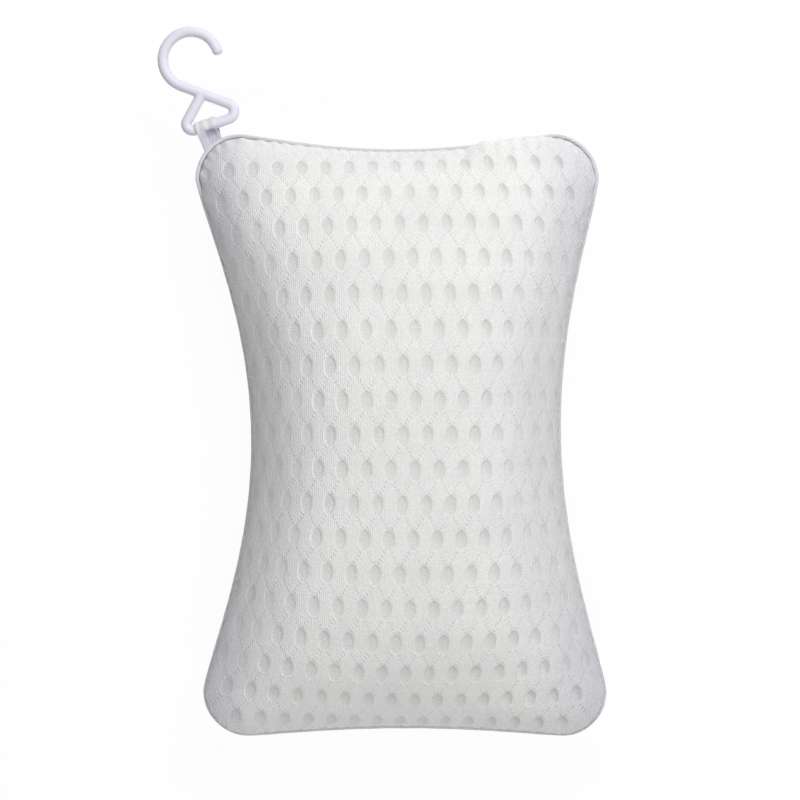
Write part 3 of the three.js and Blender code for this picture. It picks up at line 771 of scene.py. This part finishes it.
def strap_plies(place):
    """Points of the strap's outer and inner face, and how far its folds raise them."""
    radius = ROD_DIAMETER / 2 + CLEARANCE + STRAP_THICKNESS / 2
    line = along_line(strap_path(radius), np.linspace(0, 1, STRAP_STEPS))
    outwards = right_of(unit(np.gradient(line, axis=0)))
    to_near = smooth(*NEAR_PLY_RANGE, np.linspace(-1, 1, STRAP_STEPS))
    tangent_reach = LOOP_REACH - radius**2 / LOOP_REACH
    to_root = np.clip(1 - line[:, 0] / tangent_reach, 0, 1)
    across = STRAP_WIDTH * place - (STRAP_SKEW * to_near * (1 - to_root))[:, None]
    run_on = seam_depth(across) * to_root[:, None]
    rounded = np.sqrt(np.clip(1 - np.abs(2 * place) ** STRAP_EDGE_POWER, STRAP_EDGE_LEAST, 1))
    folds = strap_folds(place, to_near, to_root)
    plies = []
    for side in (1, -1):
        offset = side * STRAP_THICKNESS / 2 * rounded + folds
        section = line[:, None] + outwards[:, None] * offset[..., None]
        plies.append(hook_place(across, section[..., 0] - LOOP_REACH - run_on, section[..., 1]))
    return plies, folds


def folded_strap(material):
    """The loop's strap: a satin tape over the bar, both its plies sewn into the seam."""
    place = np.linspace(-1, 1, STRAP_CELLS + 1) / 2
    plies, folds = strap_plies(place)
    cells, count = (STRAP_STEPS - 1, STRAP_CELLS), folds.size
    faces, rim = two_sheets(cells, cells, count), rim_indices(cells, 0)
    for point, following in zip(rim, np.roll(rim, -1)):
        faces.append([point, point + count, following + count, following])
    piece = make_piece("loop_strap", plies, faces, material, None)
    run, cross = np.meshgrid(np.linspace(0, 1, STRAP_STEPS), place, indexing="ij")
    set_map(piece.data, "weave", np.tile(cross.ravel(), 2), np.tile(run.ravel(), 2))
    # The hollow's share, where the strap's finish paints shade into the sagging near ply
    set_attribute(piece.data, "hollow", np.tile(np.clip(-folds / NEAR_PLY_SAG, 0, 1).ravel(), 2))
    face_outwards(piece)
    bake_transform(piece)
    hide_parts("hanging_loop")


def cup_profile():
    """Radius and height from the floor, from beside the hollow's middle round to the head's top."""
    hollow_radius, shares = CUP_RADIUS - CUP_LIP_WIDTH, np.linspace(0, 1, CUP_STEPS)[1:]
    hollow = [(hollow_radius * share, CUP_HOLLOW * (1 - share * share)) for share in shares]
    rim = (CUP_RADIUS - CUP_LIP_ROUNDING, 0), (CUP_RADIUS, CUP_LIP_ROUNDING)
    back_rise = CUP_HOLLOW + CUP_WALL - CUP_LIP_THICKNESS
    radii = np.linspace(CUP_RADIUS, STALK_RADIUS, CUP_STEPS)
    back = [(radius, CUP_LIP_THICKNESS + back_rise * (1 - (radius / CUP_RADIUS) ** 2)) for radius in radii]
    top = CUP_STANDOFF - CLEARANCE
    under = top - FLANGE_THICKNESS
    head = SEAM_LEVEL - LINING_DEPTH + 2 * CLEARANCE + WASHER_THICKNESS
    flange_face, head_face = FLANGE_RADIUS - ROUNDING, HEAD_RADIUS - ROUNDING
    stem = (
        (STALK_RADIUS, under - STALK_FILLET), (STALK_RADIUS + STALK_FILLET, under),
        (flange_face, under), (FLANGE_RADIUS, under + ROUNDING),
        (FLANGE_RADIUS, top - ROUNDING), (flange_face, top),
        (NECK_RADIUS, top), (NECK_RADIUS, head),
        (head_face, head), (HEAD_RADIUS, head + ROUNDING),
        (HEAD_TIP_RADIUS, head + HEAD_THICKNESS),
    )
    return np.array([*hollow, *rim, *back, *stem])


def suction_cup(number, material):
    low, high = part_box(f"suction_cup_{number}")
    middle = (low + high) / 2
    profile, angle = cup_profile(), ring_angles(CUP_SIDES)
    radius, level = profile[:, :1], profile[:, 1:]
    x, y = middle.x + radius * np.cos(angle), middle.y + radius * np.sin(angle)
    points = np.stack(np.broadcast_arrays(x, y, level), -1).reshape(-1, 3)
    ends = [[middle.x, middle.y, end] for end in (CUP_HOLLOW, profile[-1, 1])]
    faces = tube_faces(len(profile), CUP_SIDES, False)
    count, last = len(points), len(points) - CUP_SIDES
    for side in range(CUP_SIDES):
        turned = (side + 1) % CUP_SIDES
        faces += [[count, turned, side], [count + 1, last + side, last + turned]]
    points = np.concatenate([points, ends])
    piece = make_piece(f"vinyl_cup_{number}", points, faces, material, f"cup_{number}")
    face_outwards(piece)
    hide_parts(f"suction_cup_{number}")


def arithmetic(operation):
    """A method that works out an operation on a signal and another value."""
    return lambda signal, other: signal.apply(operation, other)


class Signal:
    """A value that varies over a surface. Arithmetic on it adds nodes to its graph."""

    __add__, __sub__, __mul__ = [arithmetic(name) for name in ("ADD", "SUBTRACT", "MULTIPLY")]
    __truediv__, __pow__ = arithmetic("DIVIDE"), arithmetic("POWER")

    def __init__(self, graph, socket):
        self.graph = graph
        self.socket = socket

    def __rsub__(self, other):
        return self.graph.math("SUBTRACT", other, self)

    def apply(self, operation, *others):
        return self.graph.math(operation, self, *others)

    def scaled(self, factor, more):
        """A factor times the value, plus something more."""
        return self.apply("MULTIPLY_ADD", factor, more)

    def between(self, low, high):
        """From 0 at low to 1 at high, with soft ends."""
        inputs = {"Value": self, "From Min": low, "From Max": high}
        return self.graph.signal("ShaderNodeMapRange", inputs, interpolation_type="SMOOTHSTEP")

    def size(self):
        return self.apply("ABSOLUTE")

    def off_whole(self):
        """How far the value lies from the nearest whole number."""
        return self - self.apply("ROUND")

    def half_if_odd(self):
        return self.apply("FLOORED_MODULO", 2) * 0.5

    def bell(self):
        """1 where the value is 0, and soon less on both sides."""
        return (self**2 * -1).apply("EXPONENT")

    def wave(self, cycles):
        """A wave from 0 to 1."""
        return (self * (cycles * TURN)).apply("SINE").scaled(0.5, 0.5)


class Graph:
    """A node tree, and short calls for its nodes."""

    def __init__(self, tree):
        self.tree = tree

    def node(self, kind, **settings):
        node = self.tree.nodes.new(kind)
        for name, value in settings.items():
            setattr(node, name, value)
        return node

    def feed(self, socket, value):
        """Links a signal to a socket, or sets the socket to a colour or a number."""
        if isinstance(value, Signal):
            self.tree.links.new(value.socket, socket)
        else:
            socket.default_value = (*value, 1) if isinstance(value, tuple) else value

    def signal(self, kind, inputs, output=0, **settings):
        """The output of a new node, whose inputs are given by name or number."""
        node = self.node(kind, **settings)
        for name, value in inputs.items():
            self.feed(node.inputs[name], value)
        return Signal(self, node.outputs[output])

    def math(self, operation, *values):
        return self.signal("ShaderNodeMath", dict(enumerate(values)), operation=operation)

    def seen_by(self, *kinds):
        """1 for rays of these kinds."""
        paths = self.node("ShaderNodeLightPath")
        seen, *others = [Signal(self, paths.outputs[f"Is {kind} Ray"]) for kind in kinds]
        for other in others:
            seen = seen.apply("MAXIMUM", other)
        return seen

    def end_in(self, end, share, *shaders):
        """Sends the first shader to the end node, and the second one for a share."""
        signals = [Signal(self, shader.outputs[0]) for shader in shaders]
        mix = self.signal("ShaderNodeMixShader", dict(enumerate([share, *signals])))
        self.feed(self.tree.nodes[end].inputs[0], mix)


class Finish(Graph):
    """A material and short calls for its look."""

    def __init__(self, name, roughness):
        self.material = bpy.data.materials.new(name)
        self.material.use_nodes = True
        super().__init__(self.material.node_tree)
        self.shader = self.tree.nodes["Principled BSDF"]
        self.set(Roughness=roughness)

    def set(self, **values):
        for name, value in values.items():
            self.feed(self.shader.inputs[name.replace("_", " ")], value)

    def map(self, name):
        parts = self.node("ShaderNodeSeparateXYZ")
        self.feed(parts.inputs[0], self.signal("ShaderNodeUVMap", {}, uv_map=name))
        return [Signal(self, part) for part in parts.outputs[:2]]

    def attribute(self, name):
        return self.signal("ShaderNodeAttribute", {}, "Fac", attribute_name=name)

    def noise(self, scale, detail):
        place = self.signal("ShaderNodeTexCoord", {}, "Object")
        return self.signal("ShaderNodeTexNoise", {"Vector": place, "Scale": scale, "Detail": detail})

    def colours(self, share, first, second, blend="MIX"):
        inputs = dict(zip(MIX_INPUTS, (share, first, second)))
        return self.signal("ShaderNodeMix", inputs, MIX_RESULT, data_type="RGBA", blend_type=blend)

    def shaded(self, colour, share, tone):
        """A colour that darkens to a tone of itself where share is 1."""
        return self.colours(share, colour, (tone, tone, tone), "MULTIPLY")

    def bump(self, height, distance, strength):
        inputs = {"Height": height, "Distance": distance, "Strength": strength}
        self.set(Normal=self.signal("ShaderNodeBump", inputs))


def oval_field(column, row):
    """Offsets from the nearest oval, in its own half sizes, 1 inside it and 1 on its lip."""
    nearest = row.apply("ROUND")
    across = (column - nearest.half_if_odd()).off_whole() * (COLUMN_PITCH / OVAL_HALF_WIDTH)
    along = (row - nearest) * (ROW_PITCH / OVAL_HALF_HEIGHT)
    power = along.between(0, 1).scaled(TIP_POWER - ROUND_POWER, ROUND_POWER)
    rounding = along.apply("LESS_THAN", 0).scaled(FOOT_POWER - ROUND_POWER, ROUND_POWER)
    reach = (across.size() ** power + along.size() ** rounding).apply("SQRT")
    at_foot = (across + along * LIP_LEAN).between(*LIP_FOOT_RANGE)
    lip = ((reach - LIP_PLACE) / LIP_WIDTH).bell() * at_foot.scaled(1 - LIP_TIP_SHARE, LIP_TIP_SHARE)
    return across, along, 1 - reach.between(*INSIDE_RANGE), lip


def arm_stitches(column, row):
    """Slits between the slanted stitches of the two arms above each oval, and the arms themselves."""
    below = row.apply("FLOOR")
    across = (column - below.half_if_odd()).off_whole().size() * COLUMN_PITCH
    rise = (row - below).scaled(ROW_PITCH, -OVAL_HALF_HEIGHT)
    in_arm = ((across - rise.scaled(ARM_SPREAD, ARM_START)) / ARM_HALF_WIDTH).bell()
    band = ROW_PITCH - 2 * OVAL_HALF_HEIGHT
    begun = rise.between(-ARM_BEFORE, ARM_WITHIN)
    arm = in_arm * (begun * rise.between(band + ARM_BEFORE, band - ARM_WITHIN))
    phase = (rise + across * STITCH_SLANT) / STITCH_SPACING - STITCH_PHASE
    return phase.wave(1) ** SLIT_POWER * arm, arm


def cover_mesh_finish():
    """White spacer mesh: fine wales, stitched arms with a painted highlight between its rows, ladder
    threads in its ovals, and painted shade in its ovals and on its flanks, rim and corners.
    """
    finish = Finish("cover mesh", roughness=0.82)
    column, row = finish.map("lattice")
    wale, stitch = finish.map("wales")
    open_share = finish.attribute("openness")
    across, along, inside, lip = oval_field(column, row)
    inside = inside * open_share
    slit, arm = [part * open_share.between(*ARM_OPEN_RANGE) for part in arm_stitches(column, row)]

    strand = (wale * WALES_PER_COLUMN).apply("ROUND")
    loop = (stitch + strand * (0.5 / STITCHES_PER_ROW)).wave(STITCHES_PER_ROW)
    knit = wale.wave(WALES_PER_COLUMN) * loop.scaled(LOOP_HEIGHT, 1 - LOOP_HEIGHT)
    ladder = row.wave(LADDERS_PER_ROW) * LADDER_HEIGHT
    grain = finish.noise(*GRAIN).between(*NOISE_RANGE)
    height = knit * (1 - inside) + ladder * inside
    height = height + grain * GRAIN_HEIGHT - slit * SLIT_DEPTH + lip * open_share
    finish.bump(height, *KNIT_BUMP)

    mottle = finish.noise(*MOTTLE).between(*NOISE_RANGE)
    # Painted highlight on the arms' raised stitches, which turn whiter
    cloth = finish.colours(arm * ARM_HIGHLIGHT_SHARE, finish.colours(mottle, *CLOTH_COLOURS), ARM_HIGHLIGHT_COLOUR)
    # Painted shade: greyer, lilac cloth on steep flanks, at the rim and at the corners
    cloth = finish.colours(finish.attribute("shade"), cloth, PAINTED_SHADE_COLOUR)
    threads = finish.colours(knit, finish.shaded(cloth, 1, PARTING_TONE), cloth)
    slits = finish.shaded(finish.shaded(threads, 1 - grain, GRAIN_TONE), slit, SLIT_TONE)
    # Painted shade in the ovals, darkest at their tip and, in the right-hand columns, at their right side,
    # over the even darkening of their greyer inner layer
    to_right = column.between(*RIGHT_RANGE)
    shade_slant = along * SHADE_SLANT_ALONG + across * to_right.scaled(SHADE_SLANT_TO_RIGHT, SHADE_SLANT_ACROSS)
    evenness = to_right.scaled(EVENNESS_TO_RIGHT, EVENNESS)
    depth = shade_slant.between(*SHADE_SLANT_RANGE) * (1 - evenness) + evenness
    depth = depth * to_right.scaled(1 - DARKENING_AT_LEFT, DARKENING_AT_LEFT)
    finish.set(Base_Color=finish.shaded(slits, inside * depth, INNER_AND_SHADE_TONE), Specular_IOR_Level=0.2)
    return finish.material


def piping_finish():
    """Binding cloth with crossing threads."""
    finish = Finish("piping cloth", roughness=0.8)
    across, along = finish.map("weave")
    warp, weft = across.wave(1 / THREAD), (along + across).wave(1 / THREAD)
    height = (warp + PIPING_PARTING) * (weft + PIPING_PARTING)
    finish.bump(height, *PIPING_BUMP)
    colour = finish.colours(height * PIPING_THREAD_SHARE, *PIPING_COLOURS)
    finish.set(Base_Color=colour, Sheen_Weight=0.2, Specular_IOR_Level=0.25)
    return finish.material


def strap_finish():
    """A pale satin tape, lit over the bar with painted shade below it and darker painted shade in its near
    ply's hollow, with a few white stitches at the seam.
    """
    finish = Finish("strap cloth", roughness=0.45)
    across, along = finish.map("weave")
    warp, weft = across.wave(STRAP_WARPS), along.wave(STRAP_WEFTS)
    # Painted shade: the tape is lighter over the bar and darker below it, and darker still in its fold's
    # hollow
    below_bar = (along - 0.5).size().between(*BELOW_BAR_RANGE)
    satin = finish.colours(below_bar, *STRAP_LIT_AND_SHADED_COLOURS)
    cloth = finish.colours(finish.attribute("hollow"), satin, HOLLOW_SHADE_COLOUR)
    at_seam = along.between(*SEWN_RANGE) * along.between(*SEWN_END_RANGE)
    spaced = along.scaled(SEWING_SLANT, across).wave(SEWING_SPACING).between(*SEWING_RANGE)
    stitches = at_seam * spaced * SEWING_SHARE
    finish.bump((warp + WARP_RAISE) * (weft + WEFT_RAISE) + stitches, *STRAP_BUMP)
    colour = finish.colours(stitches, finish.shaded(cloth, warp, WARP_TONE), SEWING_COLOUR)
    finish.set(Base_Color=colour, Sheen_Weight=0.2, Specular_IOR_Level=0.4)
    return finish.material


def mottled_finish(name, look, **settings):
    """Moulded plastic, vinyl or fibre, with a faint mottle and a fine bump."""
    roughness, colours, mottle, grain, bump = look
    finish = Finish(name, roughness)
    finish.bump(finish.noise(*grain), *bump)
    finish.set(Base_Color=finish.colours(finish.noise(*mottle), *colours), **settings)
    return finish.material


def make_camera():
    data = bpy.data.cameras.new("camera")
    data.lens, data.sensor_width = CAMERA_LENS, SENSOR_WIDTH
    camera = put_in_scene("camera", data)
    camera.location = (*CAMERA_MIDDLE, SEAM_LEVEL + VIEW_WIDTH * CAMERA_LENS / SENSOR_WIDTH)
    bpy.context.scene.camera = camera


def make_floor():
    """A floor that shows as white to the camera, to mirrors and through glass, but keeps some shadow."""
    finish = Finish("floor", FLOOR_ROUGHNESS)
    finish.set(Base_Color=FLOOR_COLOUR)
    seen = finish.seen_by("Camera", "Glossy", "Transmission")
    glow = finish.node("ShaderNodeEmission")
    finish.end_in("Material Output", seen * FLOOR_WHITE_SHARE, finish.shader, glow)
    turns = ((-1, -1), (1, -1), (1, 1), (-1, 1))
    mesh = bpy.data.meshes.new("floor")
    mesh.from_pydata([(x * FLOOR_REACH, y * FLOOR_REACH, 0) for x, y in turns], [], [range(len(turns))])
    mesh.materials.append(finish.material)
    floor = put_in_scene("floor", mesh)
    floor.location.z = -FLOOR_DROP


def make_world():
    """Dim light from all round, which shows as white to the camera and through glass."""
    world = bpy.data.worlds.new("world")
    bpy.context.scene.world = world
    world.use_nodes = True
    graph = Graph(world.node_tree)
    base, white = graph.tree.nodes["Background"], graph.node("ShaderNodeBackground")
    for shader, strength in ((base, WORLD_STRENGTH), (white, 1)):
        graph.feed(shader.inputs["Color"], WHITE)
        graph.feed(shader.inputs["Strength"], strength)
    graph.end_in("World Output", graph.seen_by("Camera", "Transmission"), base, white)


def area_light(name, place, size, power):
    data = bpy.data.lights.new(name, "AREA")
    data.shape, data.size, data.size_y, data.energy = "RECTANGLE", *size, power
    light = put_in_scene(name, data)
    light.location = place
    light.rotation_euler = (Vector(LIGHT_TARGET) - Vector(place)).to_track_quat("-Z", "Y").to_euler()
    light.visible_camera = False


def make_stage():
    make_camera()
    make_floor()
    make_world()
    for light in LIGHTS:
        area_light(*light)
    bpy.context.scene.view_settings.view_transform = "Standard"


def main():
    make_stage()
    cover = cover_mesh_finish()
    front_cover(cover)
    back_cover(cover)
    edge_piping(piping_finish())
    fibre_block(mottled_finish("polyester fibre", FIBRE_LOOK))
    folded_strap(strap_finish())
    moulded_hook(mottled_finish("hook plastic", HOOK_LOOK, Specular_IOR_Level=0.25))
    vinyl = mottled_finish("clear vinyl", VINYL_LOOK, Transmission_Weight=0.85, IOR=1.5)
    washer = mottled_finish("washer plastic", WASHER_LOOK)
    for number in range(1, CUP_COUNT + 1):
        suction_cup(number, vinyl)
        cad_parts[f"cup_washer_{number}"].material_slots[0].material = washer


main()
